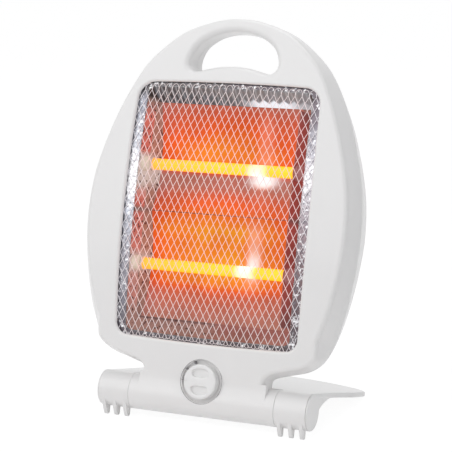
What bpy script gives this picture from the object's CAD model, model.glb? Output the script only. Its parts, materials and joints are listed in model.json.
# Looks of the two-tube quartz heater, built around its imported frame.
# Shapes are written in millimetres in the heater's own frame: X to its right, Y to its back
# and Z up along the body, with the stand's pivot axis at the origin.

import json
import math
from functools import cached_property, reduce

import bmesh
import bpy
import numpy as np
from mathutils import Matrix, Vector

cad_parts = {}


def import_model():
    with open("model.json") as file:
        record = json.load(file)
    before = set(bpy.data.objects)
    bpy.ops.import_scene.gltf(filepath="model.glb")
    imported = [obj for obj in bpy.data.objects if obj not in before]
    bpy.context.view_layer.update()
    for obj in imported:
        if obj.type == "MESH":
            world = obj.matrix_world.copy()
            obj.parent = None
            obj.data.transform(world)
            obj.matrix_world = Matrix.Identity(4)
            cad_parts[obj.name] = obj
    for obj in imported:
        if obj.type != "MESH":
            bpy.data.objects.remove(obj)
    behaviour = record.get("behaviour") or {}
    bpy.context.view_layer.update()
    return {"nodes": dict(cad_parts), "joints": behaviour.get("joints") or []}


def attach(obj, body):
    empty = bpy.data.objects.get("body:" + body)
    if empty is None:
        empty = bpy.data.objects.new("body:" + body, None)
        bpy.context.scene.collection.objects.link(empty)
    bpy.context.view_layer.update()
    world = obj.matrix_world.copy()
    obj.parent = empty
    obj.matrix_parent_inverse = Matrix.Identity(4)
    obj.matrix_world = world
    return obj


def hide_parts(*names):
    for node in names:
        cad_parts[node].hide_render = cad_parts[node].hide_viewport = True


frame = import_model()

MM = 0.001
BEYOND = 300
MERGE = 1e-4
CUT_REACH = 20
SHARP_ANGLE = 32

# The pivot and the lean of the body come from the joints
joints = {joint["name"]: joint for joint in frame["joints"]}
PIVOT = Vector(joints["stand_fold"]["pos_m"])
KNOB_AXIS = Vector(joints["knob_turn"]["axis"])
LEAN = math.atan2(-KNOB_AXIS.z, KNOB_AXIS.y)
ON_STAND = Matrix.Translation(PIVOT) @ Matrix.Scale(MM, 4)
ON_HEATER = Matrix.Translation(PIVOT) @ Matrix.Rotation(-LEAN, 4, "X") @ Matrix.Scale(MM, 4)

# Body
BODY_TOP = 333.5
BODY_HALF_WIDTH = 128.2
FRONT = 18.8
WALL = 2.4
GAP = 0.3
SHEET = 0.8
BOW_MIDDLE = 161.2
BOW_HALF = 111.5
BOW_DEPTH = 7.1
PARTING_DEPTH = 18
PARTING_RISE = 60
REAR_LOW = (16, 34.5)
REAR_MIDDLE = (150, 47)
REAR_TOP_DEPTH = 30
FRONT_EDGE = 4
FRONT_DRAFT = 6.5
REAR_RIM = 14
NECK_CLEARANCE = 1.4
TUBE_RADIUS = 15.9
TUBE_SHOULDER = 8.8
JOURNAL_HOLE = 6.3
OUTLINE_STEPS = 110
FACE_COLUMNS = 46

BODY_SHARES = [
    (0.463, 0), (0.463, 0.045), (0.48, 0.071), (0.59, 0.086), (0.724, 0.101), (0.812, 0.127),
    (0.878, 0.175), (0.938, 0.253), (0.984, 0.359), (1, 0.466), (0.974, 0.5745), (0.9, 0.6845),
    (0.82, 0.767), (0.704, 0.85), (0.582, 0.905), (0.388, 0.961), (0.174, 0.992), (0, 1),
]
DRAFT_SHARES = [
    (0, 0.5), (0.13, 0.5), (0.17, 1.5), (0.21, 1.45), (0.25, 1.35), (0.4, 1.12), (0.74, 1),
    (0.82, 0.8), (0.9, 0.4), (0.96, 0.1), (1, 0.1),
]
NECK_HALF = BODY_SHARES[0][0] * BODY_HALF_WIDTH
TUBE_HALF = NECK_HALF + TUBE_SHOULDER
WALL_SHARES = [(1, 0), (0.68, 0.25), (0.4, 0.5), (0.16, 0.75), (0, 1)]
REAR_RIM_SHARES = [(0, 0), (0.03, 0.16), (0.12, 0.36), (0.28, 0.71), (0.58, 0.92), (1, 1)]

# Window
WINDOW_HALF = 84.4
WINDOW_SIDE_BULGE = 1.9
WINDOW_END_BULGE = 1.8
WINDOW_TOP_RADIUS = 14
WINDOW_BOTTOM_RADIUS = 10
WINDOW_ROUND = 2.4

# Handle opening
HANDLE_HALF = 40.7
HANDLE_TOP = 321
HANDLE_BOTTOM = 284.5
HANDLE_ROUND = 6
HANDLE_WALL = 2.2
HANDLE_SHARES = [
    (0, 0.15), (0.3, 0.13), (0.62, 0.055), (0.86, 0), (1, 0.14), (0.985, 0.38), (0.84, 0.66),
    (0.56, 0.87), (0.28, 0.97), (0, 1),
]

# Knob and its pocket
KNOB_LEVEL = 15.6
KNOB_PLACE = (0, 0, KNOB_LEVEL)
KNOB_RADIUS = 15
KNOB_SKIRT = 15.4
KNOB_HEIGHT = 7.6
SKIRT_HEIGHT = 1.6
POCKET_RADIUS = 18.5
POCKET_DEPTH = 7.2
POCKET_FLOOR = 1.8
POCKET_RIM = 3.5
POCKET_FLARE = 0.9
POCKET_FLARE_DEPTH = 1.2
SHAFT_RADIUS = 3
MARK_FRONT = 3
MARK_ANGLES = (90, 57, 26)

# Heating tubes
TUBE_LEVELS = {"lower": 112.9, "upper": 200.7}
TUBE_Y = 6 - FRONT
QUARTZ_RADIUS = 5
QUARTZ_BORE = 4
QUARTZ_HALF = 72.4
COIL_RADIUS = 3
COIL_WIRE = 0.45
COIL_HALF = 60
COIL_TURNS = 46
COIL_LEAD = 82.5


def face_y(z):
    share = (z - BOW_MIDDLE) / BOW_HALF
    return BOW_DEPTH * (share * share - 1) - FRONT


def parting_y(z):
    """The parting line is the widest outline, and passes through the base tube's axis."""
    low = FRONT + BOW_DEPTH - BOW_DEPTH * (BOW_MIDDLE / BOW_HALF) ** 2
    level = np.maximum(z, 0)
    rise = np.minimum(level / PARTING_RISE, 1)
    return face_y(level) + low + (PARTING_DEPTH - low) * rise * rise * (3 - 2 * rise)


def rear_y(z):
    z = np.asarray(z, float)
    rise = (REAR_MIDDLE[1] - REAR_LOW[1]) / (REAR_MIDDLE[0] - REAR_LOW[0])
    low = REAR_LOW[1] + rise * (z - REAR_LOW[0])
    share = (z - REAR_MIDDLE[0]) / (BODY_TOP - REAR_MIDDLE[0])
    high = REAR_MIDDLE[1] - (REAR_MIDDLE[1] - REAR_TOP_DEPTH) * share * share
    return np.where(z < REAR_MIDDLE[0], low, high) - FRONT


def from_face(depth):
    return lambda z: face_y(z) + depth


# Curves
def smooth_curve(points, count):
    """Places evenly spread along the smooth curve through the points."""
    knots = np.array(points, float)
    last = len(knots) - 1
    found = []
    for t in np.linspace(0, last, count):
        i = min(int(t), last - 1)
        f = t - i
        before, here, after = knots[max(i - 1, 0)], knots[i], knots[i + 1]
        beyond = knots[min(i + 2, last)]
        leave, arrive = (after - before) / 2, (beyond - here) / 2
        found.append(
            (2 * here - 2 * after + leave + arrive) * f**3
            + (3 * after - 3 * here - 2 * leave - arrive) * f**2
            + leave * f
            + here
        )
    return np.array(found)


def smooth_half(points, steps):
    """Right half of the closed outline through points that run up from the lower centre line."""
    mirrored = [(-x, z) for x, z in reversed(points[:-1])]
    half = smooth_curve(list(points) + mirrored, 2 * steps + 1)[: steps + 1]
    half[-1, 0] = 0
    return half


def inset_half(half, inset):
    before = np.vstack([half[:1], half[:-1]])
    after = np.vstack([half[1:], half[-1:]])
    along = after - before
    along /= np.linalg.norm(along, axis=1)[:, None]
    inward = np.stack([-along[:, 1], along[:, 0]], axis=1)
    inward[-1] = (0, -1)
    if half[0, 0] < MERGE:
        inward[0] = (0, 1)
    moved = half + inward * np.reshape(inset, (-1, 1))
    moved[:, 0] = np.maximum(moved[:, 0], 0)
    return moved


def corner(centre, radius, start, end, steps):
    angles = np.radians(np.linspace(start, end, steps + 1))
    return [(centre[0] + radius * math.cos(a), centre[1] + radius * math.sin(a)) for a in angles]


def rounding(radius, count, first=0):
    """Pairs of inset and depth along a rounded edge, from its face to its side."""
    angles = np.radians(np.linspace(first, 90, count))
    return [(radius * (1 - math.sin(a)), radius * (1 - math.cos(a))) for a in angles]


def bent(start, control, end, count):
    """Points along a curve from start to end that turns at the control point."""
    start, control, end = (np.array(point, float) for point in (start, control, end))
    return [
        (1 - t) ** 2 * start + 2 * t * (1 - t) * control + t * t * end
        for t in np.linspace(0, 1, count)
    ]


def rounded_half(half, low, high, low_radius, high_radius, columns=12, rows=40, steps=9):
    """Right half of a rounded rectangle, from its lower to its upper centre."""
    points = [(x, low) for x in np.linspace(0, half - low_radius, columns)]
    points += corner((half - low_radius, low + low_radius), low_radius, -90, 0, steps)[1:]
    points += [(half, z) for z in np.linspace(low + low_radius, high - high_radius, rows)[1:]]
    points += corner((half - high_radius, high - high_radius), high_radius, 0, 90, steps)[1:]
    points += [(x, high) for x in np.linspace(half - high_radius, 0, columns)[1:]]
    return np.array(points)


def window_half(margin):
    """Right half of the window's barrelled outline, grown outward by a margin."""
    outline = rounded_half(
        WINDOW_HALF + margin,
        BOW_MIDDLE - BOW_HALF - margin,
        BOW_MIDDLE + BOW_HALF + margin,
        WINDOW_BOTTOM_RADIUS + margin / 2,
        WINDOW_TOP_RADIUS + margin / 2,
    )
    x, z = outline[:, 0], outline[:, 1]
    along = (z - BOW_MIDDLE) / BOW_HALF
    across = x / WINDOW_HALF
    side = WINDOW_SIDE_BULGE * np.maximum(0, 1 - along**2) * np.minimum(1, across)
    near_end = np.clip((np.abs(along) - 0.5) * 2, 0, 1)
    end = np.sign(along) * WINDOW_END_BULGE * np.maximum(0, 1 - across**2) * near_end
    return np.stack([x + side, z + end], axis=1)


def round_corners(points, radius, steps=5):
    """Profile with each inner corner of a line rounded off, as far as its sides allow."""
    points = [np.array(p, float) for p in points]
    found = [points[0]]
    for before, here, after in zip(points, points[1:], points[2:]):
        to_before, to_after = before - here, after - here
        reach = min(radius, 0.45 * np.linalg.norm(to_before), 0.45 * np.linalg.norm(to_after))
        start = here + to_before / np.linalg.norm(to_before) * reach
        end = here + to_after / np.linalg.norm(to_after) * reach
        found += bent(start, here, end, steps + 1)
    found.append(points[-1])
    return found


# Meshes
def new_object(name, data):
    obj = bpy.data.objects.new(name, data)
    bpy.context.scene.collection.objects.link(obj)
    return obj


def worked_object(work):
    """Object of a working mesh, whose faces are first turned outward."""
    bmesh.ops.recalc_face_normals(work, faces=work.faces)
    mesh = bpy.data.meshes.new("shape")
    work.to_mesh(mesh)
    work.free()
    return new_object("shape", mesh)


def from_patches(patches, rims=()):
    """One object from grids of points whose edges meet, and rims closed by one face each."""
    work = bmesh.new()
    for rim in rims:
        work.faces.new([work.verts.new(point) for point in rim])
    for patch in patches:
        patch = np.asarray(patch, float)
        rows, columns = patch.shape[:2]
        corners = [[work.verts.new(patch[k, i]) for i in range(columns)] for k in range(rows)]
        for k in range(rows - 1):
            for i in range(columns - 1):
                work.faces.new(
                    (corners[k][i], corners[k][i + 1], corners[k + 1][i + 1], corners[k + 1][i])
                )
    bmesh.ops.remove_doubles(work, verts=work.verts, dist=MERGE)
    bmesh.ops.dissolve_degenerate(work, edges=work.edges, dist=MERGE / 2)
    return worked_object(work)


def spread(start, end, columns):
    """Grid whose rows run from each start point to its end point."""
    shares = np.linspace(0, 1, columns + 1)[None, :, None]
    return np.asarray(start)[:, None, :] * (1 - shares) + np.asarray(end)[:, None, :] * shares


def mirrored_loft(rings, columns=0):
    """Closed solid through rings, each given as its right half from bottom to top.
    Its end faces are grids of that many columns, or one face each."""
    rings = np.array(rings, float)
    mirror = np.array([-1, 1, 1])
    patches = [rings, rings * mirror]
    rims = []
    for ring in (rings[0], rings[-1]):
        if columns:
            patches.append(spread(ring * mirror, ring, columns))
        else:
            rims.append([*ring, *(ring * mirror)[-2:0:-1]])
    for end in (0, -1):
        if rings[:, end, 0].max() > MERGE:
            patches.append(spread(rings[:, end] * mirror, rings[:, end], columns))
    return from_patches(patches, rims)


def at_depth(half, depth):
    """Half ring in space: depth gives each point's Y from its Z."""
    y = np.broadcast_to(depth(half[:, 1]), len(half))
    return np.stack([half[:, 0], y, half[:, 1]], axis=1)


def slab(upper, lower):
    """Closed solid between two grids of points."""
    upper, lower = np.asarray(upper, float), np.asarray(lower, float)
    edges = [
        np.stack([upper[0], lower[0]]),
        np.stack([upper[-1], lower[-1]]),
        np.stack([upper[:, 0], lower[:, 0]]),
        np.stack([upper[:, -1], lower[:, -1]]),
    ]
    return from_patches([upper, lower, *edges])


def prism(points, axis, low, high):
    """Outline pushed along an axis: its points are (y, z), (x, z) or (x, y)."""
    work = bmesh.new()

    def ring(level):
        places = {"X": lambda a, b: (level, a, b), "Y": lambda a, b: (a, level, b),
                  "Z": lambda a, b: (a, b, level)}
        return [work.verts.new(places[axis](a, b)) for a, b in points]

    near, far = ring(low), ring(high)
    work.faces.new(near)
    work.faces.new(far)
    for corners in zip(near, near[1:] + near[:1], far[1:] + far[:1], far):
        work.faces.new(corners)
    return worked_object(work)


def block(low, high):
    outline = [(low[0], low[1]), (high[0], low[1]), (high[0], high[1]), (low[0], high[1])]
    return prism(outline, "Z", low[2], high[2])


def turned(profile, axis, place=(0, 0, 0), side=1, sides=96):
    """Profile of (radius, place along the axis) turned round the X or Y axis."""
    angles = np.radians(np.linspace(0, 360, sides + 1))
    grid = []
    for radius, along in profile:
        if axis == "X":
            ring = [(side * along, radius * math.cos(a), radius * math.sin(a)) for a in angles]
        else:
            ring = [(radius * math.cos(a), along, radius * math.sin(a)) for a in angles]
        grid.append(ring)
    return from_patches([np.array(grid) + np.array(place, float)])


def rod(radius, low, high, axis, place=(0, 0, 0), sides=96):
    profile = [(0, low), (radius, low), (radius, high), (0, high)]
    return turned(profile, axis, place, sides=sides)


def bowed_space(near, far):
    """Everything between two depths that follow the bow, wider and taller than the body."""
    levels = np.linspace(-40, BODY_TOP + 20, 91)
    outline = [(float(near(z)), z) for z in levels]
    outline += [(float(far(z)), z) for z in levels[::-1]]
    return prism(outline, "X", -BEYOND, BEYOND)


def wires(paths, radius, sides):
    """Vertices and faces of round wires along paths."""
    vertices, faces = [], []
    for path in paths:
        path = np.array(path, float)
        tangents = np.gradient(path, axis=0)
        tangents /= np.linalg.norm(tangents, axis=1)[:, None]
        across = np.array([0, 1.0, 0.01])
        first = len(vertices)
        for point, along in zip(path, tangents):
            across = across - along * across.dot(along)
            across /= np.linalg.norm(across)
            other = np.cross(along, across)
            for k in range(sides):
                angle = 2 * math.pi * k / sides
                vertices.append(point + radius * (math.cos(angle) * across + math.sin(angle) * other))
        last = len(vertices) - sides
        for ring in range(first, last, sides):
            for k in range(sides):
                n = (k + 1) % sides
                faces.append((ring + k, ring + n, ring + sides + n, ring + sides + k))
        faces.append(range(first, first + sides)[::-1])
        faces.append(range(last, last + sides))
    return vertices, faces


def wire_object(groups):
    """One object of several groups of wires."""
    work = bmesh.new()
    for vertices, faces in groups:
        corners = [work.verts.new(vertex) for vertex in vertices]
        for face in faces:
            work.faces.new([corners[i] for i in face])
    return worked_object(work)


def combined(target, tools, operation):
    """Target joined with, cut by or kept inside the tools, which are used up."""
    for tool in tools:
        change = target.modifiers.new("change", "BOOLEAN")
        change.operation = operation
        change.solver = "MANIFOLD"
        change.object = tool
    graph = bpy.context.evaluated_depsgraph_get()
    mesh = bpy.data.meshes.new_from_object(target.evaluated_get(graph))
    target.modifiers.clear()
    target.data = mesh
    for tool in tools:
        bpy.data.objects.remove(tool)
    return target


def joined(target, *tools):
    return combined(target, tools, "UNION")


def cut(target, *tools):
    return combined(target, tools, "DIFFERENCE")


def kept_inside(target, *tools):
    return combined(target, tools, "INTERSECT")


def copied(obj):
    return new_object("copy", obj.data.copy())


# Materials
LOOKS = {}


def feed(socket, value):
    """Gives a socket a number, a colour or another node's output."""
    if isinstance(value, bpy.types.NodeSocket):
        socket.id_data.links.new(value, socket)
    elif socket.type == "RGBA":
        socket.default_value = (*value, 1)
    else:
        socket.default_value = value


def added(tree, kind, inputs):
    """New node with its inputs fed, each given by its name or number."""
    node = tree.nodes.new(kind)
    for key, value in inputs.items():
        feed(node.inputs[key], value)
    return node


def calculated(tree, operation, *values):
    node = added(tree, "ShaderNodeMath", dict(enumerate(values)))
    node.operation = operation
    return node.outputs["Value"]


class Look:
    """A material, and short ways to add nodes to it."""

    def __init__(self, name, metallic=0.0):
        material = bpy.data.materials.new(name)
        material.use_nodes = True
        LOOKS[name] = material
        self.tree = material.node_tree
        self.shader = self.tree.nodes["Principled BSDF"]
        self.coordinates = self.tree.nodes.new("ShaderNodeTexCoord")
        self.place = self.coordinates.outputs["Object"]
        self.set("Metallic", metallic)

    def set(self, name, value):
        feed(self.shader.inputs[name], value)

    def maths(self, operation, *values):
        return calculated(self.tree, operation, *values)

    def product(self, *factors):
        return reduce(lambda first, second: self.maths("MULTIPLY", first, second), factors)

    def vectors(self, operation, first, second, output="Vector"):
        node = added(self.tree, "ShaderNodeVectorMath", {0: first, 1: second})
        node.operation = operation
        return node.outputs[output]

    def noise(self, scale, detail=2, distortion=0.0):
        inputs = {"Vector": self.place, "Scale": scale, "Detail": detail, "Distortion": distortion}
        return added(self.tree, "ShaderNodeTexNoise", inputs).outputs["Fac"]

    def ranged(self, value, low, high, new_low=0, new_high=1, smooth=False):
        """The value's share of a range, or its place in a new range, kept within the ends."""
        ends = {"From Min": low, "From Max": high, "To Min": new_low, "To Max": new_high}
        node = added(self.tree, "ShaderNodeMapRange", {"Value": value, **ends})
        if smooth:
            node.interpolation_type = "SMOOTHERSTEP"
        return node.outputs["Result"]

    def drifting(self, scale, low, high):
        """Numbers that drift over the surface, mostly between two ends."""
        return self.ranged(self.noise(scale), 0.3, 0.7, low, high)

    def ramp(self, value, stops):
        """Colours, or greys given by one number, between stops from 0 to 1."""
        node = added(self.tree, "ShaderNodeValToRGB", {"Fac": value})
        elements = node.color_ramp.elements
        while len(elements) < len(stops):
            elements.new(0.5)
        for element, (share, colour) in zip(elements, stops.items()):
            element.position = share
            element.color = (*(colour if isinstance(colour, tuple) else (colour,) * 3), 1)
        return node.outputs["Color"]

    def mixed(self, factor, first, second):
        """Mix of two colours, each given as it is or by another node's output."""
        node = added(self.tree, "ShaderNodeMix", {"Factor": factor})
        node.data_type = "RGBA"
        colours = {"A_Color": first, "B_Color": second}
        for socket in node.inputs:
            if socket.identifier in colours:
                feed(socket, colours[socket.identifier])
        return next(socket for socket in node.outputs if socket.identifier == "Result_Color")

    def varied(self, colour, amount, scale):
        """Base colour that drifts a little over the surface."""
        darker = tuple(c * (1 - amount) for c in colour)
        found = self.ramp(self.noise(scale, 4), {0.3: darker, 0.7: colour})
        self.set("Base Color", found)
        return found

    def roughened(self, low, high, scale):
        self.set("Roughness", self.ranged(self.noise(scale, 3), 0, 1, low, high))

    def bumped(self, height, strength, distance):
        inputs = {"Height": height, "Strength": strength, "Distance": distance}
        self.set("Normal", added(self.tree, "ShaderNodeBump", inputs).outputs["Normal"])

    def glows(self, colour, strength):
        self.set("Emission Color", colour)
        self.set("Emission Strength", strength)

    @cached_property
    def across(self):
        """Place across the heater, in metres to the right of its middle."""
        node = added(self.tree, "ShaderNodeSeparateXYZ", {"Vector": self.place})
        return node.outputs["X"]

    def sideways(self, half):
        """Share of the way from that many millimetres left of the middle to as many right."""
        return self.ranged(self.across, -half * MM, half * MM)

    @cached_property
    def right(self):
        return self.sideways(HALVES_BLEND)

    @cached_property
    def left(self):
        return self.sideways(-HALVES_BLEND)

    @cached_property
    def level_share(self):
        return self.ranged(self.along(UP), GLOW_LOW, GLOW_HIGH)

    def along(self, direction):
        """Distance from the pivot axis along a direction of the leaning body, in millimetres."""
        from_axis = self.vectors("SUBTRACT", self.place, PIVOT)
        return self.vectors("DOT_PRODUCT", from_axis, direction, "Value")

    def by_level(self, stops):
        """Ramp whose stops are millimetres up the body, between GLOW_LOW and GLOW_HIGH."""
        length = GLOW_HIGH - GLOW_LOW
        shares = {(z - GLOW_LOW) / length: value for z, value in stops.items()}
        return self.ramp(self.level_share, shares)

    def glare(self, heights, half):
        """Upright white streak of the lamp, at the given heights, leaning a little to the right."""
        middle = self.maths("MULTIPLY_ADD", self.level_share, -GLARE_LEAN * MM, -GLARE_MIDDLE * MM)
        away = self.maths("ABSOLUTE", self.maths("ADD", self.across, middle))
        near = self.ranged(away, half * MM, GLARE_CORE * MM, smooth=True)
        return self.product(near, self.by_level(heights))

    def facing_tubes(self):
        """1 on the faces turned to the tubes and 0 on a sheet's back."""
        towards = self.vectors("SUBTRACT", GLOW_MIDDLE, self.place)
        facing = self.vectors("DOT_PRODUCT", self.coordinates.outputs["Normal"], towards, "Value")
        return self.maths("GREATER_THAN", facing, 0)


def plastic(name, colour, roughness, coat=0.0):
    look = Look(name)
    look.varied(colour, 0.012, 18)
    look.roughened(roughness * 0.9, roughness * 1.15, 60)
    look.bumped(look.noise(1400), 0.12, 0.00004)
    look.set("IOR", 1.5)
    look.set("Coat Weight", coat)
    look.set("Coat Roughness", 0.12)


def metal(name, colour, roughness):
    look = Look(name, 1)
    look.varied(colour, 0.08, 70)
    look.roughened(roughness * 0.8, roughness * 1.3, 120)
    look.bumped(look.noise(900), 0.2, 0.00005)


# The stretch of the body, in millimetres up from the pivot axis, whose looks change by level
GLOW_LOW = 50
GLOW_HIGH = 270
# The lit faces of the sheets turn towards this point, in front of the seam between the tubes
GLOW_MIDDLE = ON_HEATER @ Vector((0, -20, 161))
HALVES_BLEND = 10
UP = (0, math.sin(LEAN) / MM, math.cos(LEAN) / MM)
BACK = (0, math.cos(LEAN) / MM, -math.sin(LEAN) / MM)

# How hot each level looks: 1 at a tube, 0 in the shade
HEAT = {
    50: 0, 72: 0.2, 90: 0.42, 100: 0.84, 112: 1, 134: 0.86, 147: 0.93, 170: 0.62, 184: 0.24,
    193: 0.2, 202: 0.8, 216: 0.84, 242: 0.56, 255: 0.34, 264: 0,
}
HEAT_COLOURS = {
    0: (0.20, 0.13, 0.11), 0.2: (0.39, 0.13, 0.11), 0.4: (0.56, 0.085, 0.045),
    0.6: (0.76, 0.09, 0.015), 0.84: (0.82, 0.21, 0.015), 1: (0.86, 0.37, 0.01),
}
# How hot a reflector looks from its left to its right end
HEAT_ACROSS = {0: 0.7, 0.16: 0.86, 0.4: 1, 0.62: 0.98, 0.84: 0.86, 1: 0.68}

# The lamp's streak on the reflectors and tubes, and the small glint over the seam
GLARE_LEAN = 6
GLARE_MIDDLE = 28.5
GLARE_CORE = 1
GLARE_HALF = 13
GLARE_HEIGHTS = {
    50: 0, 88: 0, 102: 0.3, 109: 0.7, 116: 1, 124: 0.9, 131: 0.62, 138: 0.5, 150: 0.42,
    159: 0.12, 184: 0.12, 189: 0.9, 194: 1, 206: 0.4, 216: 0.34, 240: 0.34, 256: 0,
}
GLARE_COLOURS = {
    0: (0.95, 0.22, 0.14), 0.4: (0.98, 0.36, 0.26), 0.7: (1, 0.7, 0.6), 1: (1, 0.93, 0.9),
}
GLINT_HALF = 22
GLINT_HEIGHTS = {50: 0, 185: 0, 189: 0.6, 191: 1, 196: 1, 200: 0}

# What the flange reflects, in its left and its right half
FLANGE_LEFT = {
    50: (0.12, 0.10, 0.11), 80: (0.22, 0.21, 0.24), 120: (0.36, 0.35, 0.39),
    160: (0.48, 0.50, 0.56), 178: (0.95, 0.95, 0.96), 196: (0.95, 0.95, 0.96),
    214: (0.48, 0.49, 0.53), 256: (0.30, 0.31, 0.36), 266: (0.12, 0.11, 0.11),
}
FLANGE_RIGHT = {
    50: (0.10, 0.08, 0.08), 80: (0.13, 0.09, 0.095), 120: (0.19, 0.13, 0.135),
    155: (0.28, 0.22, 0.24), 180: (0.46, 0.43, 0.46), 188: (0.70, 0.68, 0.70),
    202: (0.66, 0.64, 0.66), 216: (0.42, 0.41, 0.45), 236: (0.28, 0.27, 0.30),
    244: (0.18, 0.15, 0.17), 266: (0.12, 0.10, 0.11),
}

# The tray's walls and the brackets take beige patches beside the tubes' ends
WALL_HEAT = {
    50: 0.24, 72: 0.36, 84: 0.7, 104: 0.9, 156: 1, 160: 0.2, 164: 1, 212: 1, 242: 0.9,
    255: 0.35, 261: 0, 270: 0,
}
WALL_LEFT = {
    0: (0.03, 0.03, 0.03), 0.15: (0.24, 0.16, 0.14), 0.35: (0.37, 0.18, 0.15),
    1: (0.72, 0.16, 0.12),
}
WALL_RIGHT = {
    0: (0.03, 0.03, 0.03), 0.15: (0.24, 0.16, 0.14), 0.35: (0.36, 0.12, 0.10),
    1: (0.86, 0.05, 0.03),
}
WALL_PATCHES = {
    50: 0, 84: 0.15, 102: 0.4, 108: 0.9, 118: 0.9, 126: 0.1, 150: 0.1, 168: 0, 176: 0.4,
    182: 0.9, 207: 1, 213: 0,
}
BRACKET_LEFT = {0: (0.15, 0.10, 0.09), 0.5: (0.32, 0.17, 0.14), 1: (0.42, 0.20, 0.15)}
BRACKET_RIGHT = {0: (0.10, 0.06, 0.055), 0.5: (0.22, 0.07, 0.065), 1: (0.30, 0.06, 0.05)}
BRACKET_PATCHES = {50: 0, 102: 0, 110: 0.7, 118: 0.7, 126: 0, 176: 0, 186: 0.8, 204: 0.8, 211: 0}
BEIGE = (0.62, 0.50, 0.45)

FLUTE_PITCH = 9.4
FLUTE_DEPTH = 1.5
FLUTE_DARK = (0.022, 0.018, 0.016)
FLUTE_LIGHT = (0.30, 0.285, 0.29)


def embossed_metal(name):
    """Bright aluminium sheet with a fine crumpled pattern, whose reflections change by level."""
    look = Look(name, 1)
    look.roughened(0.28, 0.48, 200)
    sheet = look.mixed(look.right, look.by_level(FLANGE_LEFT), look.by_level(FLANGE_RIGHT))
    sheet = look.mixed(look.drifting(420, -0.25, 0.8), sheet, (0.16, 0.15, 0.17))
    sheet = look.mixed(look.drifting(300, -1.6, 0.9), sheet, (0.95, 0.96, 0.98))
    look.set("Base Color", sheet)
    look.bumped(look.noise(620, 1, 1.2), 0.6, 0.0003)


def lit_metal(name, base, strength, glow, dull_back=True):
    """Polished sheet lit by the tubes, where glow gives the colour of its light."""
    look = Look(name, 1)
    sheet = look.varied(base, 0.2, 50)
    look.roughened(0.3, 0.5, 90)
    look.bumped(look.noise(60), 0.2, 0.0005)
    shine = look.drifting(26, strength * 0.84, strength * 1.16)
    if dull_back:
        facing = look.facing_tubes()
        shine = look.product(shine, facing)
        look.set("Base Color", look.mixed(facing, (0.5, 0.5, 0.5), sheet))
    look.glows(glow(look), shine)


def reflector_glow(look):
    """Hot beside the tubes, with the lamp's streak and its glint."""
    middle = look.ramp(look.sideways(67), HEAT_ACROSS)
    warmth = look.product(look.by_level(HEAT), middle, look.drifting(34, 0.9, 1.04))
    colour = look.ramp(warmth, HEAT_COLOURS)
    streak = look.glare(GLARE_HEIGHTS, GLARE_HALF)
    colour = look.mixed(streak, colour, look.ramp(streak, GLARE_COLOURS))
    return look.mixed(look.glare(GLINT_HEIGHTS, GLINT_HALF), colour, (1.0, 0.95, 0.94))


def wall_glow(look, left_colours, right_colours, patches):
    """Red at right; at left dark in the corner and specked, with beige patches."""
    warmth = look.by_level(WALL_HEAT)
    left, right = look.ramp(warmth, left_colours), look.ramp(warmth, right_colours)
    colour = look.mixed(look.right, left, right)
    below_flutes = look.by_level({50: 1, 250: 1, 256: 0})
    corner_shade = look.product(look.ranged(look.along(BACK), 1, 2.5), below_flutes)
    colour = look.mixed(look.product(corner_shade, look.left, 0.75), colour, (0.10, 0.04, 0.04))
    colour = look.mixed(look.product(look.left, look.by_level(patches)), colour, BEIGE)
    specks = look.product(look.drifting(260, -7, 2.2), look.left)
    return look.mixed(specks, colour, (0.06, 0.03, 0.03))


def fluted_metal(name):
    """Fluted sheet: soft dark flutes, lighter to the right, whose feet catch the lamp at right."""
    look = Look(name, 0.4)
    look.varied((0.1, 0.1, 0.105), 0.3, 120)
    look.roughened(0.35, 0.55, 150)
    half = FLUTE_PITCH / 2 * MM
    ridge = look.ranged(look.maths("PINGPONG", look.across, half), 0, half)
    shade = look.ramp(ridge, {0: FLUTE_LIGHT, 0.3: FLUTE_DARK, 0.75: FLUTE_DARK, 1: FLUTE_LIGHT})
    lighter = look.product(look.ranged(look.across, -0.06, 0.09), 0.55)
    shade = look.mixed(lighter, shade, (0.46, 0.43, 0.42))
    shade = look.mixed(look.drifting(95, 0, 0.5), shade, (0.16, 0.19, 0.23))
    scallop = look.maths("MULTIPLY_ADD", ridge, 2.6, look.along(UP))
    foot = look.ramp(look.ranged(scallop, 256, 268), {0: 1, 0.5: 1, 0.62: 0.02, 1: 0})
    to_right = look.ranged(look.across, 0.005, 0.08)
    side = look.ramp(to_right, {0: 0, 0.1: 0.35, 0.22: 1, 0.6: 1, 0.72: 0.4, 1: 0.1})
    look.glows(look.mixed(look.product(foot, side), shade, (1.0, 1.04, 1.1)), 0.85)


def net_metal(name):
    """Bright wire that takes a pink glow from the hot sheet behind it."""
    look = Look(name, 0.5)
    look.varied((0.42, 0.37, 0.37), 0.1, 80)
    look.roughened(0.4, 0.6, 120)
    colour = look.ramp(look.by_level(HEAT), {
        0: (0.40, 0.36, 0.36), 0.25: (0.50, 0.39, 0.39), 0.6: (0.58, 0.33, 0.32),
        1: (0.60, 0.36, 0.33),
    })
    beyond_sheet = look.ranged(look.maths("ABSOLUTE", look.across), 0.068, 0.082)
    look.glows(look.mixed(beyond_sheet, colour, (0.42, 0.42, 0.45)), 1)


def glowing_quartz(name):
    """Quartz that lets the coil's light through and catches the lamp."""
    look = Look(name)
    look.varied((0.8, 0.42, 0.08), 0.2, 90)
    look.roughened(0.2, 0.35, 60)
    look.set("Specular IOR Level", 0.2)
    colour = look.ramp(look.sideways(QUARTZ_HALF), {
        0: (0.86, 0.30, 0.04), 0.1: (0.86, 0.38, 0.012), 0.5: (0.88, 0.49, 0.006),
        1: (0.90, 0.53, 0.005),
    })
    spot = look.glare(GLARE_HEIGHTS, GLARE_HALF)
    look.glows(look.mixed(spot, colour, (1.3, 1.3, 1.25)), 0.95)
    look.set("Alpha", 0.8)


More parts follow.
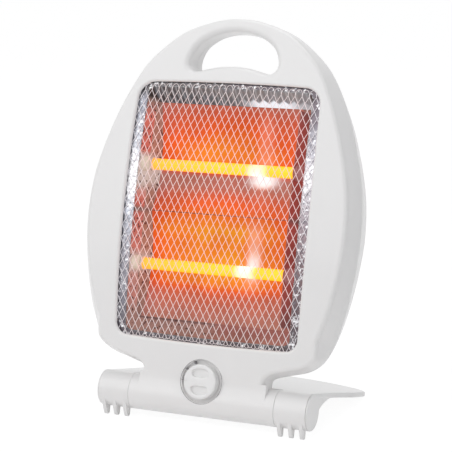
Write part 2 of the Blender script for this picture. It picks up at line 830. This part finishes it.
def glowing_wire(name):
    look = Look(name)
    look.varied((0.9, 0.5, 0.1), 0.2, 200)
    colour = look.ramp(look.sideways(COIL_HALF), {
        0: (0.95, 0.36, 0.02), 0.5: (1.0, 0.66, 0.06), 1: (0.98, 0.5, 0.03),
    })
    look.glows(colour, 1.2)


def lit_ceramic(name):
    """Pale ceramic that takes the light at its left end and the red glow at its right end."""
    look = Look(name)
    pale = look.varied((0.72, 0.62, 0.5), 0.1, 60)
    look.roughened(0.6, 0.8, 300)
    look.set("Base Color", look.mixed(look.right, pale, (0.36, 0.16, 0.15)))
    look.glows(look.mixed(look.right, (0.16, 0.13, 0.11), (0.06, 0.02, 0.02)), 1)


plastic("white_plastic", (0.90, 0.89, 0.885), 0.31, 0.25)
plastic("knob_plastic", (0.91, 0.905, 0.9), 0.32, 0.2)
plastic("grey_plastic", (0.66, 0.65, 0.63), 0.45)
plastic("mark_grey", (0.3, 0.29, 0.3), 0.45)
plastic("dark_plastic", (0.05, 0.05, 0.055), 0.45)
plastic("lead_sleeve", (0.4, 0.1, 0.06), 0.6)
metal("plain_sheet", (0.55, 0.55, 0.55), 0.35)
metal("screw_steel", (0.6, 0.6, 0.6), 0.3)
net_metal("grille_wire")
embossed_metal("silvered_sheet")
fluted_metal("fluted_sheet")
lit_ceramic("ceramic")
lit_metal("reflector_glow", (0.08, 0.03, 0.012), 0.95, reflector_glow)
lit_metal("wall_glow", (0.08, 0.05, 0.04), 0.8,
          lambda look: wall_glow(look, WALL_LEFT, WALL_RIGHT, WALL_PATCHES))
lit_metal("bracket_glow", (0.1, 0.07, 0.06), 0.75,
          lambda look: wall_glow(look, BRACKET_LEFT, BRACKET_RIGHT, BRACKET_PATCHES),
          dull_back=False)
glowing_quartz("quartz_glass")
glowing_wire("glowing_coil")

# The library's slot of each look that has another name
SLOTS = {
    "mark_grey": "grey_plastic", "fluted_sheet": "silvered_sheet", "wall_glow": "silvered_sheet",
    "reflector_glow": "silvered_sheet", "bracket_glow": "plain_sheet",
}


def dressed(obj, look):
    """Gives a piece its material and the slot of that material."""
    obj.data.materials.clear()
    obj.data.materials.append(LOOKS[look])
    SLOTS.get(look, look)


def finished(obj, name, look, nodes=(), body="heater"):
    """Gives a piece its name, place, shading, body, look and the nodes it stands for."""
    obj.name = name
    obj.data.name = name
    obj.data.transform(ON_STAND if body == "stand" else ON_HEATER)
    obj.data.shade_smooth()
    obj.data.set_sharp_from_angle(angle=math.radians(SHARP_ANGLE))
    weighted = obj.modifiers.new("weighted", "WEIGHTED_NORMAL")
    weighted.keep_sharp = True
    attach(obj, body)
    if nodes:
        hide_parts(*nodes)
    dressed(obj, look)


# Camera, floor and light
CAMERA_PLACE = (0.5385, -1.2863, 0.4356)
CAMERA_AZIMUTH = 23.093
CAMERA_PITCH = 11.068
SENSOR = 36
FOCAL_PIXELS = 1597
PHOTO_SIZE = 452
FLOOR_HALF = 30


def camera():
    data = bpy.data.cameras.new("camera")
    data.sensor_width = SENSOR
    data.lens = SENSOR * FOCAL_PIXELS / PHOTO_SIZE
    obj = new_object("camera", data)
    obj.location = CAMERA_PLACE
    obj.rotation_euler = (math.radians(90 - CAMERA_PITCH), 0, math.radians(CAMERA_AZIMUTH))
    bpy.context.scene.camera = obj


def seen_directly(tree):
    """1 where the backdrop is seen, in a reflection or through glass too, 0 where it only lights."""
    rays = tree.nodes.new("ShaderNodeLightPath").outputs
    kinds = [rays["Is Camera Ray"], rays["Is Glossy Ray"], rays["Is Transmission Ray"]]
    return reduce(lambda first, second: calculated(tree, "MAXIMUM", first, second), kinds)


def shown_as(tree, output, share, lit, seen):
    """Ends a tree in the mix of the shader that lights and the one that is seen."""
    mix = added(tree, "ShaderNodeMixShader", {"Fac": share, 1: lit, 2: seen})
    tree.links.new(mix.outputs["Shader"], tree.nodes[output].inputs["Surface"])


def floor():
    half = FLOOR_HALF
    corners = [(-half, -half, 0), (half, -half, 0), (half, half, 0), (-half, half, 0)]
    mesh = bpy.data.meshes.new("floor")
    mesh.from_pydata(corners, [], [(0, 1, 2, 3)])
    look = Look("floor")
    look.set("Base Color", (0.95, 0.95, 0.95))
    look.set("Roughness", 0.8)
    look.set("Specular IOR Level", 0.1)
    white = added(look.tree, "ShaderNodeEmission", {"Color": (1, 1, 1), "Strength": 1.1})
    share = look.product(seen_directly(look.tree), 0.85)
    shown_as(look.tree, "Material Output", share, look.shader.outputs["BSDF"],
             white.outputs["Emission"])
    mesh.materials.append(LOOKS["floor"])
    new_object("floor", mesh)


def world():
    made = bpy.data.worlds.new("world")
    bpy.context.scene.world = made
    made.use_nodes = True
    tree = made.node_tree
    seen = tree.nodes["Background"]
    feed(seen.inputs["Color"], (1, 1, 1))
    ambient = added(tree, "ShaderNodeBackground", {"Color": (0.97, 0.98, 1), "Strength": 0.42})
    shown_as(tree, "World Output", seen_directly(tree), ambient.outputs["Background"],
             seen.outputs["Background"])


def lamp(name, place, aim, size, power):
    data = bpy.data.lights.new(name, "AREA")
    data.shape = "DISK"
    data.size = size
    data.energy = power
    obj = new_object(name, data)
    obj.location = place
    towards = Vector(aim) - Vector(place)
    obj.rotation_euler = towards.to_track_quat("-Z", "Y").to_euler()


# Body of the heater
body_half = smooth_half(
    [(x * BODY_HALF_WIDTH, z * BODY_TOP) for x, z in BODY_SHARES], OUTLINE_STEPS
)
handle_half = smooth_half(
    [(x * HANDLE_HALF, HANDLE_BOTTOM + z * (HANDLE_TOP - HANDLE_BOTTOM)) for x, z in HANDLE_SHARES],
    60,
)


def body_form(inside):
    """The heater's oval body, or the hollow inside it."""
    rings = []
    draft = FRONT_DRAFT * np.interp(body_half[:, 1] / BODY_TOP, *zip(*DRAFT_SHARES))

    def ring(inset, place):
        half = inset_half(body_half, inset + inside)
        near, far = face_y(half[:, 1]), rear_y(half[:, 1])
        share = (place(half[:, 1]) - near) / (far - near)
        y = near + inside + (far - near - 2 * inside) * share
        rings.append(np.stack([half[:, 0], y, half[:, 1]], axis=1))

    for inset, depth in rounding(FRONT_EDGE, 10):
        ring(draft + inset, from_face(depth))
    for inset, share in smooth_curve(WALL_SHARES, 9)[1:]:
        ring(
            draft * inset,
            lambda z, s=share: (face_y(z) + FRONT_EDGE) * (1 - s) + parting_y(z) * s,
        )
    for inset, share in smooth_curve(REAR_RIM_SHARES, 22)[1:]:
        ring(REAR_RIM * inset, lambda z, s=share: parting_y(z) * (1 - s) + rear_y(z) * s)
    form = mirrored_loft(rings, FACE_COLUMNS)
    level = TUBE_RADIUS + NECK_CLEARANCE + inside
    under = block((-BODY_HALF_WIDTH, 0, -20), (BODY_HALF_WIDTH, BODY_HALF_WIDTH, level))
    return cut(form, under)


def handle_form(grow):
    """The handle opening, rounded over at both faces."""
    rings = []

    def ring(flare, depth):
        rings.append(at_depth(inset_half(handle_half, -flare - grow), depth))

    edge = [(HANDLE_ROUND, -10), *rounding(HANDLE_ROUND, 9)]
    for flare, depth in edge:
        ring(flare, from_face(depth))
    for flare, depth in edge[::-1]:
        ring(flare, lambda z, d=depth: rear_y(z) - d)
    return mirrored_loft(rings)


def window_form():
    edge = [(WINDOW_ROUND, -CUT_REACH), *rounding(WINDOW_ROUND, 7), (0, 9)]
    return mirrored_loft([at_depth(window_half(margin), from_face(depth)) for margin, depth in edge])


def neck_fillet():
    """Soft concave run from the base tube up to the neck's face."""
    angle, end_level = math.radians(75), 19
    start = (-TUBE_RADIUS * math.sin(angle), TUBE_RADIUS * math.cos(angle))
    outline = bent(start, (-13.2, 12.1), (face_y(end_level), end_level), 12)
    outline += [(-8, end_level), (-8, 0), (start[0] + 1, 0)]
    return prism(outline, "X", -NECK_HALF, NECK_HALF)


def journal_hole():
    return rod(JOURNAL_HOLE, -BEYOND, BEYOND, "X", sides=48)


def covers():
    tube = rod(TUBE_RADIUS, -TUBE_HALF, TUBE_HALF, "X")
    outer = joined(body_form(0), tube, neck_fillet())
    tube_hollow = rod(TUBE_RADIUS - WALL, WALL - TUBE_HALF, TUBE_HALF - WALL, "X")
    hollow = joined(body_form(WALL), tube_hollow)
    pocket_back = POCKET_DEPTH + POCKET_FLOOR - FRONT
    cup = rod(POCKET_RADIUS + WALL, -BEYOND, pocket_back, "Y", KNOB_PLACE)
    hollow = cut(hollow, handle_form(HANDLE_WALL), cup)
    shell = cut(outer, hollow, handle_form(0))
    return front_cover(copied(shell)), rear_cover(shell)


def front_cover(shell):
    flare, face, back = POCKET_RADIUS + POCKET_FLARE, POCKET_RIM - FRONT, POCKET_DEPTH - FRONT
    profile = [(0, -60), (flare, -60), (flare, face), (POCKET_RADIUS, face + POCKET_FLARE_DEPTH),
               (POCKET_RADIUS, back), (0, back)]
    pocket = turned(profile, "Y", KNOB_PLACE)
    shaft_hole = rod(SHAFT_RADIUS + 2 * GAP, -60, 0, "Y", KNOB_PLACE, 32)
    space = bowed_space(lambda z: -BEYOND, parting_y)
    holes = [window_form(), pocket, shaft_hole, journal_hole()]
    return kept_inside(cut(shell, *holes), space)


def position_marks():
    """Three ribs along the pocket's wall, one for each place of the knob."""
    marks = []
    radius = (KNOB_SKIRT + POCKET_RADIUS) / 2
    for angle in MARK_ANGLES:
        mark = block((-0.4, MARK_FRONT - FRONT, radius - 0.8),
                     (0.4, POCKET_DEPTH - FRONT + 1, radius + 1.5))
        turn = Matrix.Rotation(-math.radians(angle), 4, "Y")
        mark.data.transform(Matrix.Translation(KNOB_PLACE) @ turn)
        marks.append(mark)
    return joined(*marks)


def pocket_rim():
    """Thin dark edge round the knob's pocket."""
    inner, outer = POCKET_RADIUS + 0.72, POCKET_RADIUS + 0.96
    near, far = POCKET_RIM - FRONT - 0.35, POCKET_RIM - FRONT + 0.2
    profile = [(inner, near), (outer, near), (outer, far), (inner, far), (inner, near)]
    return turned(profile, "Y", KNOB_PLACE)


COVER_SCREWS = [
    (side * x * BODY_HALF_WIDTH, z * BODY_TOP)
    for x, z in [(0.56, 0.86), (0.85, 0.5), (0.745, 0.18)] for side in (1, -1)
]
SCREW_BORE = 1.8
SCREW_WELL = 3.7
SCREW_SLEEVE = 5.6
SLEEVE_START = 10
SCREW_SEAT = 12
GLAND_X = -34
GLAND_LEVEL = 33
GLAND_Y = float(rear_y(GLAND_LEVEL))
GLAND_HOLE = 5.3
GLAND_SEAT = 7.8
GLAND_SINK = 0.9
VENT_ROWS = 8
VENT_PITCH = 9
VENT_HEIGHT = 3.4
VENT_BANDS = [(196, 52), (66, 60)]


def rounded_slot(half, low, high):
    middle, radius = (low + high) / 2, (high - low) / 2
    points = corner((half - radius, middle), radius, -90, 90, 8)
    points += corner((radius - half, middle), radius, 90, 270, 8)
    return prism(points, "Y", 0, BEYOND)


def rear_cover(shell):
    """The deep cover, with its vents, the cord's hole and a sleeve for each screw."""
    place = (GLAND_X, 0, GLAND_LEVEL)
    tools, sleeves = [journal_hole()], []
    for x, z in COVER_SCREWS:
        start, seat = (float(parting_y(z)) + reach for reach in (SLEEVE_START, SCREW_SEAT))
        top = float(rear_y(z)) - WALL / 2
        tools.append(rod(SCREW_WELL, seat, BEYOND, "Y", (x, 0, z), 32))
        profile = [(SCREW_BORE, start), (SCREW_SLEEVE, start), (SCREW_SLEEVE, top),
                   (SCREW_WELL, top), (SCREW_WELL, seat), (SCREW_BORE, seat), (SCREW_BORE, start)]
        sleeves.append(turned(profile, "Y", (x, 0, z), sides=32))
    tools.append(rod(GLAND_HOLE, 0, BEYOND, "Y", place, 40))
    tools.append(rod(GLAND_SEAT, GLAND_Y - GLAND_SINK, BEYOND, "Y", place, 48))
    for level, widest in VENT_BANDS:
        for row in range(VENT_ROWS):
            half = widest - abs(row - (VENT_ROWS - 1) / 2) * 2
            low = level + row * VENT_PITCH
            tools.append(rounded_slot(half, low, low + VENT_HEIGHT))
    space = bowed_space(lambda z: parting_y(z) + GAP, lambda z: BEYOND)
    return joined(kept_inside(cut(shell, *tools), space), *sleeves)


# Grille: crossed wires with arched ends behind the window
NET_DEPTH = 3.4
NET_PITCH = 6.42
NET_RISE = 12.2
NET_WIRES = {1: 0.31, -1: 0.25}
NET_STEP = 0.3
NET_TOP = BOW_MIDDLE + BOW_HALF + WINDOW_END_BULGE - 1.6
NET_BOTTOM = BOW_MIDDLE - BOW_HALF - 1.0
NET_HALF = WINDOW_HALF + WINDOW_SIDE_BULGE + 2.6
NET_HEM = 1.6
WIRE_SIDES = 5


def net_point(x, z, lift):
    edge = max(0.0, 1 - (x / NET_HALF) ** 2)
    return (x, face_y(z) + NET_DEPTH + lift, z - (1 - edge) * WINDOW_END_BULGE * (z > BOW_MIDDLE))


def strand(start, direction, lift):
    """One slanting wire from its arched top down to the lower edge or to a side."""
    path = []
    slope = direction * NET_PITCH / NET_RISE
    steps = int((NET_TOP - NET_BOTTOM) / (NET_RISE / 4))
    for i in range(2, steps + 1):
        z = NET_TOP - i * NET_RISE / 4
        x = start + slope * (NET_TOP - z)
        if abs(x) <= NET_HALF:
            path.append(net_point(x, z, lift))
    return path


def arch(middle, level, half, rise):
    """Loop that joins two strands at an edge of the net."""
    return [
        net_point(middle + half * math.sin(a), level - rise * (1 - math.cos(a) ** 0.8), 0)
        for a in np.radians(np.linspace(-90, 90, 11))
    ]


def grille():
    """The net: strands in both directions, arches along its top and loops along its hem."""
    count = int(NET_HALF / NET_PITCH)
    reach = count + int((NET_TOP - NET_BOTTOM) / NET_RISE) + 1
    groups = []
    for direction, radius in NET_WIRES.items():
        paths = [strand(column * NET_PITCH, direction, NET_STEP * direction)
                 for column in range(-reach, reach + 1)]
        groups.append(wires([path for path in paths if len(path) > 1], radius, WIRE_SIDES))
    middles = [column * NET_PITCH for column in range(-count, count + 1)]
    loops = [arch(x, NET_TOP, NET_PITCH / 2, NET_RISE / 2) for x in middles]
    for shift in (0, 0.5):
        loops += [arch(x + shift * NET_PITCH, NET_BOTTOM + shift, NET_PITCH / 4, -NET_HEM)
                  for x in middles]
    groups.append(wires(loops, NET_WIRES[-1], WIRE_SIDES))
    return wire_object(groups)


# Reflector tray
FLANGE_DEPTH = 4.1
FLANGE_MARGIN = 5
TRAY_FRONT_HALF = 78
TRAY_BACK_HALF = 76.5
TRAY_BACK = 24.5
TRAY_FRONT_ENDS = (51.4, 271.2)
TRAY_BACK_ENDS = (64.7, 257.7)
TRAY_CORNER = 6
FLUTES_START = 3.6
FLUTES_END = 22.5
FLUTES_HALF = 76


def tray_bulge(x, share):
    """Bulge of the tray's upper and lower walls, which follow the window at their front."""
    return WINDOW_END_BULGE * (1 - (x / WINDOW_HALF) ** 2) * (1 - share)


def tray_wall(end, share):
    """Level of the tray's lower or upper wall, from its front to its back."""
    return TRAY_FRONT_ENDS[end] + (TRAY_BACK_ENDS[end] - TRAY_FRONT_ENDS[end]) * share


def tray_form(thinner, front_w, back_w):
    rings = []
    for w in (front_w, back_w):
        share = w / (TRAY_BACK - SHEET)
        half = TRAY_FRONT_HALF + (TRAY_BACK_HALF - TRAY_FRONT_HALF) * share - thinner
        radius = TRAY_CORNER - thinner / 2
        low, high = tray_wall(0, share) + thinner, tray_wall(1, share) - thinner
        ring = rounded_half(half, low, high, radius, radius)
        near_end = np.clip((np.abs(ring[:, 1] - BOW_MIDDLE) - 90) / 15, 0, 1)
        ring[:, 1] += np.sign(ring[:, 1] - BOW_MIDDLE) * near_end * tray_bulge(ring[:, 0], share)
        rings.append(at_depth(ring, lambda z, d=w: d - FRONT))
    return mirrored_loft(rings)


def tray():
    """The flange behind the net, and the box behind it."""
    half = window_half(FLANGE_MARGIN)
    outline = [*half, *(half * (-1, 1))[-2:0:-1]]
    front, back = from_face(FLANGE_DEPTH), from_face(FLANGE_DEPTH + SHEET)
    flange = kept_inside(bowed_space(front, back), prism(outline, "Y", -BEYOND, BEYOND))
    box = kept_inside(tray_form(0, -20, TRAY_BACK), bowed_space(front, lambda z: BEYOND))
    return [cut(part, tray_form(SHEET, -30, TRAY_BACK - SHEET)) for part in (flange, box)]


def flutes(end, inward):
    """Pressed flutes along the tray's lower or upper wall."""
    xs = np.linspace(-FLUTES_HALF, FLUTES_HALF, 305)
    upper, lower = [], []
    for w in np.linspace(FLUTES_START, FLUTES_END, 12):
        share = w / (TRAY_BACK - SHEET)
        wall = tray_wall(end, share) + inward * (SHEET - tray_bulge(xs, share))
        along = (w - FLUTES_START) / (FLUTES_END - FLUTES_START)
        rise = FLUTE_DEPTH * math.sqrt(max(0, math.sin(math.pi * along)))
        near = wall + inward * (0.15 + rise * np.abs(np.sin(math.pi * xs / FLUTE_PITCH)))
        for grid, level in ((upper, near), (lower, wall)):
            grid.append(np.stack([xs, np.full_like(xs, w - FRONT), level], axis=1))
    return slab(upper, lower)


# Reflectors
RIDGE_LEVEL = 160.2
RIDGE_DEPTH = 12
TROUGH_DEPTH = 22.4
TROUGH_END_DEPTH = 11
REFLECTOR_HALF = 66.8
REFLECTOR_ENDS = {"lower": 66.5, "upper": 255.9}


def reflector(which):
    level, outer_end = TUBE_LEVELS[which], REFLECTOR_ENDS[which]
    inner_end = RIDGE_LEVEL + (GAP if which == "upper" else -GAP)
    upper, lower = [], []
    for z in np.linspace(outer_end, inner_end, 61):
        outward = (z - level) * (outer_end - level) > 0
        share = (z - level) / ((outer_end if outward else inner_end) - level)
        end = TROUGH_END_DEPTH if outward else RIDGE_DEPTH
        y = TROUGH_DEPTH - (TROUGH_DEPTH - end) * share * share - FRONT
        row = np.linspace(-REFLECTOR_HALF, REFLECTOR_HALF, 25)
        upper.append([(x, y, z) for x in row])
        lower.append([(x, y + SHEET, z) for x in row])
    return slab(upper, lower)


def quartz_tube(level):
    profile = [(QUARTZ_BORE, -QUARTZ_HALF), (QUARTZ_RADIUS, -QUARTZ_HALF),
               (QUARTZ_RADIUS, QUARTZ_HALF), (QUARTZ_BORE, QUARTZ_HALF), (QUARTZ_BORE, -QUARTZ_HALF)]
    return turned(profile, "X", (0, TUBE_Y, level), sides=40)


def coil(level):
    steps = COIL_TURNS * 14
    path = [(-COIL_LEAD, 0, 0), (-COIL_HALF - 6, 0, 0)]
    for i in range(steps + 1):
        angle = 2 * math.pi * i * COIL_TURNS / steps
        x = COIL_HALF * (2 * i / steps - 1)
        path.append((x, COIL_RADIUS * math.sin(angle), COIL_RADIUS * math.cos(angle)))
    path += [(COIL_HALF + 6, 0, 0), (COIL_LEAD, 0, 0)]
    path = np.array(path) + (0, TUBE_Y, level)
    return wire_object([wires([path], COIL_WIRE, 6)])


CAP_PROFILE = [
    (5.3, 66.2), (6.1, 66.2), (6.1, 68.2), (7.4, 68.2), (7.4, 70.4), (6.8, 70.4), (6.8, 76), (1.1, 76),
    (1.1, 72.7), (5.3, 72.7), (5.3, 66.2),
]


def ceramic_cap(level, side):
    profile = round_corners(CAP_PROFILE, 0.4, 3)
    return turned(profile, "X", (0, TUBE_Y, level), side, 40)


# Knob
GRIP_WIDTH = 6.6
GRIP_POCKET_HALF = 7
GRIP_POCKET_DEPTH = 3
GRIP_POCKET_SHARES = [(0, 0.6), (0.84, 0.62), (1.09, 1), (0.86, 1.52), (0, 1.72)]
# Flare and depth down the side of a finger pocket
GRIP_POCKET_SIDE = [
    (0.9, -5), (0.9, 0), (0.5, 0.12), (0.2, 0.4), (0, 0.9), (0, GRIP_POCKET_DEPTH - 0.8),
    (-0.3, GRIP_POCKET_DEPTH - 0.2), (-0.9, GRIP_POCKET_DEPTH),
]


def knob():
    back = POCKET_DEPTH - GAP - FRONT
    face = back - KNOB_HEIGHT
    profile = round_corners(
        [(0, face), (KNOB_RADIUS, face), (KNOB_RADIUS, back - SKIRT_HEIGHT),
         (KNOB_SKIRT, back - SKIRT_HEIGHT), (KNOB_SKIRT, back), (0, back)],
        1.7, 7,
    )
    body = turned(profile, "Y", KNOB_PLACE, sides=120)
    pocket_half = smooth_half(
        [(x * GRIP_POCKET_HALF, z * GRIP_WIDTH) for x, z in GRIP_POCKET_SHARES], 32
    )
    for up in (1, -1):
        rings = [
            at_depth(inset_half(pocket_half, -flare) * (1, up) + (0, KNOB_LEVEL),
                     lambda z, d=depth: face + d)
            for flare, depth in GRIP_POCKET_SIDE
        ]
        body = cut(body, mirrored_loft(rings))
    bore = rod(SHAFT_RADIUS + GAP, back - 5.3, 0, "Y", KNOB_PLACE, 32)
    pointer = block((-KNOB_RADIUS - 1, face - 3, KNOB_LEVEL - 0.5),
                    (4 - KNOB_RADIUS, face + 1.2, KNOB_LEVEL + 0.5))
    return cut(body, bore, pointer)


# Stand
AXIS_HEIGHT = 21.4
PLATE_THICKNESS = 4.8
PLATE_LAND = 0.8
PLATE_FRONT = 3.5
PLATE_FRONT_LEVEL = TUBE_RADIUS - 0.4
PLATE_REAR = 152
PLATE_REAR_CURVE = 16
PLATE_FLARE = 8
PLATE_FLARE_SHARE = 0.67
PLATE_CORNER = 16
PLATE_EDGE = 1.6
PLATE_DROP = AXIS_HEIGHT + PLATE_FRONT_LEVEL + PLATE_LAND - PLATE_THICKNESS
FAIRING_END = 50
FAIRING_HOLLOW = (28, 1.5)
HUB_INNER = TUBE_HALF + GAP
HUB_END = HUB_INNER + 28.5
HUB_BORE = TUBE_RADIUS - 2.5
HUB_WALL = 2.8
HUB_START = 76
HUB_TURN = 266
PLATE_HALF = HUB_END
TOOTH_PLACES = (HUB_INNER + 4.1, HUB_INNER + 14.1, HUB_INNER + 24.1)
TOOTH_WIDTH = 3
# Rib round the underside of a hub that ends in a small foot
TOOTH_OUTLINE = [
    (-TUBE_RADIUS * 0.96, -3), (-13.8, -12.5), (-10.8, -AXIS_HEIGHT), (-6.6, -AXIS_HEIGHT),
    (-4.8, -13.9), (0, -14.3), (-TUBE_RADIUS * 0.96, -3),
]


def plate_surface(lift, shrink=0.0):
    """Grid over the plate: wide at the rear, with rounded rear corners and a curved rear edge."""
    rows = []
    near_rear = 1 - 0.14 * (1 - np.sin(np.linspace(0.1, math.pi / 2, 14)))
    start = 1 - PLATE_CORNER / PLATE_REAR
    for t in [*np.linspace(0, 0.86, 18), *near_rear]:
        turn = max(0, (t - start) / (1 - start))
        flare = PLATE_FLARE * min(1, t / PLATE_FLARE_SHARE) ** 2
        half = PLATE_HALF + flare - PLATE_CORNER * (1 - math.sqrt(max(0, 1 - turn * turn))) - shrink
        row = []
        for s in np.sin(np.linspace(-math.pi / 2, math.pi / 2, 41)):
            x = s * half
            rear = PLATE_REAR - PLATE_REAR_CURVE * (x / PLATE_HALF) ** 2 - shrink
            y = PLATE_FRONT + t * (rear - PLATE_FRONT)
            row.append((x, y, PLATE_FRONT_LEVEL - t * PLATE_DROP - lift))
        rows.append(row)
    return np.array(rows)


def plate():
    """The rear plate, with its edge rounded over in steps."""
    edge = [(PLATE_EDGE, 0), *rounding(PLATE_EDGE, 5, 18)]
    layers = [plate_surface(lift, shrink) for shrink, lift in edge]
    layers += [plate_surface(PLATE_THICKNESS - lift, shrink) for shrink, lift in edge[::-1]]

    def rim(grid):
        ring = [*grid[0], *grid[1:, -1], *grid[-1, -2::-1], *grid[-2:0:-1, 0]]
        return np.array([*ring, ring[0]])

    return from_patches([layers[0], layers[-1], np.array([rim(g) for g in layers])])


def hub_outline():
    """Outline of a hub and the fairing that leads from its underside to the plate."""
    points = corner((0, 0), TUBE_RADIUS, HUB_START, HUB_START + HUB_TURN, 56)
    slope = -PLATE_DROP / (PLATE_REAR - PLATE_REAR_CURVE - PLATE_FRONT)
    end = PLATE_FRONT_LEVEL - PLATE_THICKNESS + slope * (FAIRING_END - PLATE_FRONT)
    points += bent(points[-1], FAIRING_HOLLOW, (FAIRING_END, end), 19)[1:]
    return [*points, (FAIRING_END, end + PLATE_THICKNESS / 2)]


def tooth(middle):
    rounded = round_corners(TOOTH_OUTLINE, 1.6, 4)[:-1]
    return prism(rounded, "X", middle - TOOTH_WIDTH / 2, middle + TOOTH_WIDTH / 2)


def stand():
    """Plate, hubs and ribs as one moulding, open for the base tube and the hubs' caps."""
    outline = hub_outline()
    body = plate()
    tools, holes = [], []
    for side in (1, -1):
        ends = sorted((side * HUB_INNER, side * HUB_END))
        tools.append(prism(outline, "X", *ends))
        tools += [tooth(side * x) for x in TOOTH_PLACES]
        bore_ends = sorted((side * (HUB_INNER + HUB_WALL), side * BEYOND))
        holes.append(rod(HUB_BORE, *bore_ends, "X"))
    holes.append(journal_hole())
    holes.append(rod(TUBE_RADIUS + 0.6, -HUB_INNER, HUB_INNER, "X"))
    holes.append(block((-BEYOND, -BEYOND, -BEYOND), (BEYOND, BEYOND, -AXIS_HEIGHT)))
    return cut(joined(body, *tools), *holes)


def hub_cap(side):
    disc, length, edge = 15.6, 1.3, 0.6
    inner, start = HUB_END - 4, HUB_END + GAP
    profile = [(0, inner), (HUB_BORE - GAP, inner), (HUB_BORE - GAP, start), (disc, start),
               (disc, start + length * (1 - edge))]
    for inset, depth in rounding(length * edge, 6, 10):
        profile.append((disc - depth, start + length - inset))
    profile.append((0, start + length))
    return turned(profile, "X", side=side)


def cord_gland():
    profile = [(3, -7.6), (5, -7.6), (5, -0.6), (7.5, -0.6), (7.5, 2.5), (5, 4.5), (3, 4.5),
               (3, -7.6)]
    place = (GLAND_X, GLAND_Y, GLAND_LEVEL)
    return turned(round_corners(profile, 0.6, 4), "Y", place, sides=48)


# Scene
camera()
floor()
world()
lamp("key", (-0.9, -1.6, 1.5), (0, 0, 0.15), 2.4, 17)
lamp("fill", (1.8, -1.2, 1.0), (0, 0, 0.15), 1.6, 3)
lamp("top", (0, 0.3, 2.0), (0, 0, 0.1), 1.4, 9)
bpy.context.scene.view_settings.view_transform = "Standard"

front, rear = covers()
finished(front, "front_shell", "white_plastic", ["front_cover"])
finished(position_marks(), "position_marks", "mark_grey")
finished(pocket_rim(), "pocket_rim", "mark_grey")
finished(rear, "rear_shell", "white_plastic", ["rear_cover"])
finished(grille(), "wire_grille", "grille_wire", ["grille_mesh"])
flange, box = tray()
finished(flange, "tray_flange", "silvered_sheet", ["reflector_tray"])
finished(box, "tray_box", "wall_glow")
finished(flutes(1, -1), "flutes_upper", "fluted_sheet")
finished(flutes(0, 1), "flutes_lower", "wall_glow")
SIDES = {"right": 1, "left": -1}
for which, level in TUBE_LEVELS.items():
    finished(reflector(which), "glow_reflector_" + which, "reflector_glow", ["reflector_" + which])
    finished(quartz_tube(level), "quartz_" + which, "quartz_glass", ["quartz_tube_" + which])
    finished(coil(level), "coil_" + which, "glowing_coil", ["heating_coil_" + which])
    for word, side in SIDES.items():
        place = which + "_" + word
        finished(ceramic_cap(level, side), "cap_" + place, "ceramic", ["ceramic_cap_" + place])
finished(knob(), "round_knob", "knob_plastic", ["knob"], "knob")
finished(stand(), "stand_moulding", "white_plastic", ["stand"], "stand")
for word, side in SIDES.items():
    finished(hub_cap(side), "end_cap_" + word, "white_plastic", ["hub_cap_" + word], "stand")
finished(cord_gland(), "gland", "grey_plastic", ["cord_gland"])

# Pieces that keep the solids' form, by the start of their names
KEPT_FORMS = {
    "bracket_glow": ("tube_bracket",),
    "plain_sheet": ("heat_shield",),
    "screw_steel": ("cover_screw", "tray_screw", "bracket_screw", "shield_screw", "pivot_screw",
                    "pivot_washer", "thermal_fuse", "tilt_pendulum"),
    "grey_plastic": ("pivot_journal", "switch_shaft", "terminal_block"),
    "dark_plastic": ("rotary_switch", "tilt_switch_housing"),
    "lead_sleeve": ("lead_",),
}
for name, node in frame["nodes"].items():
    for look, starts in KEPT_FORMS.items():
        if name.startswith(starts):
            dressed(node, look)
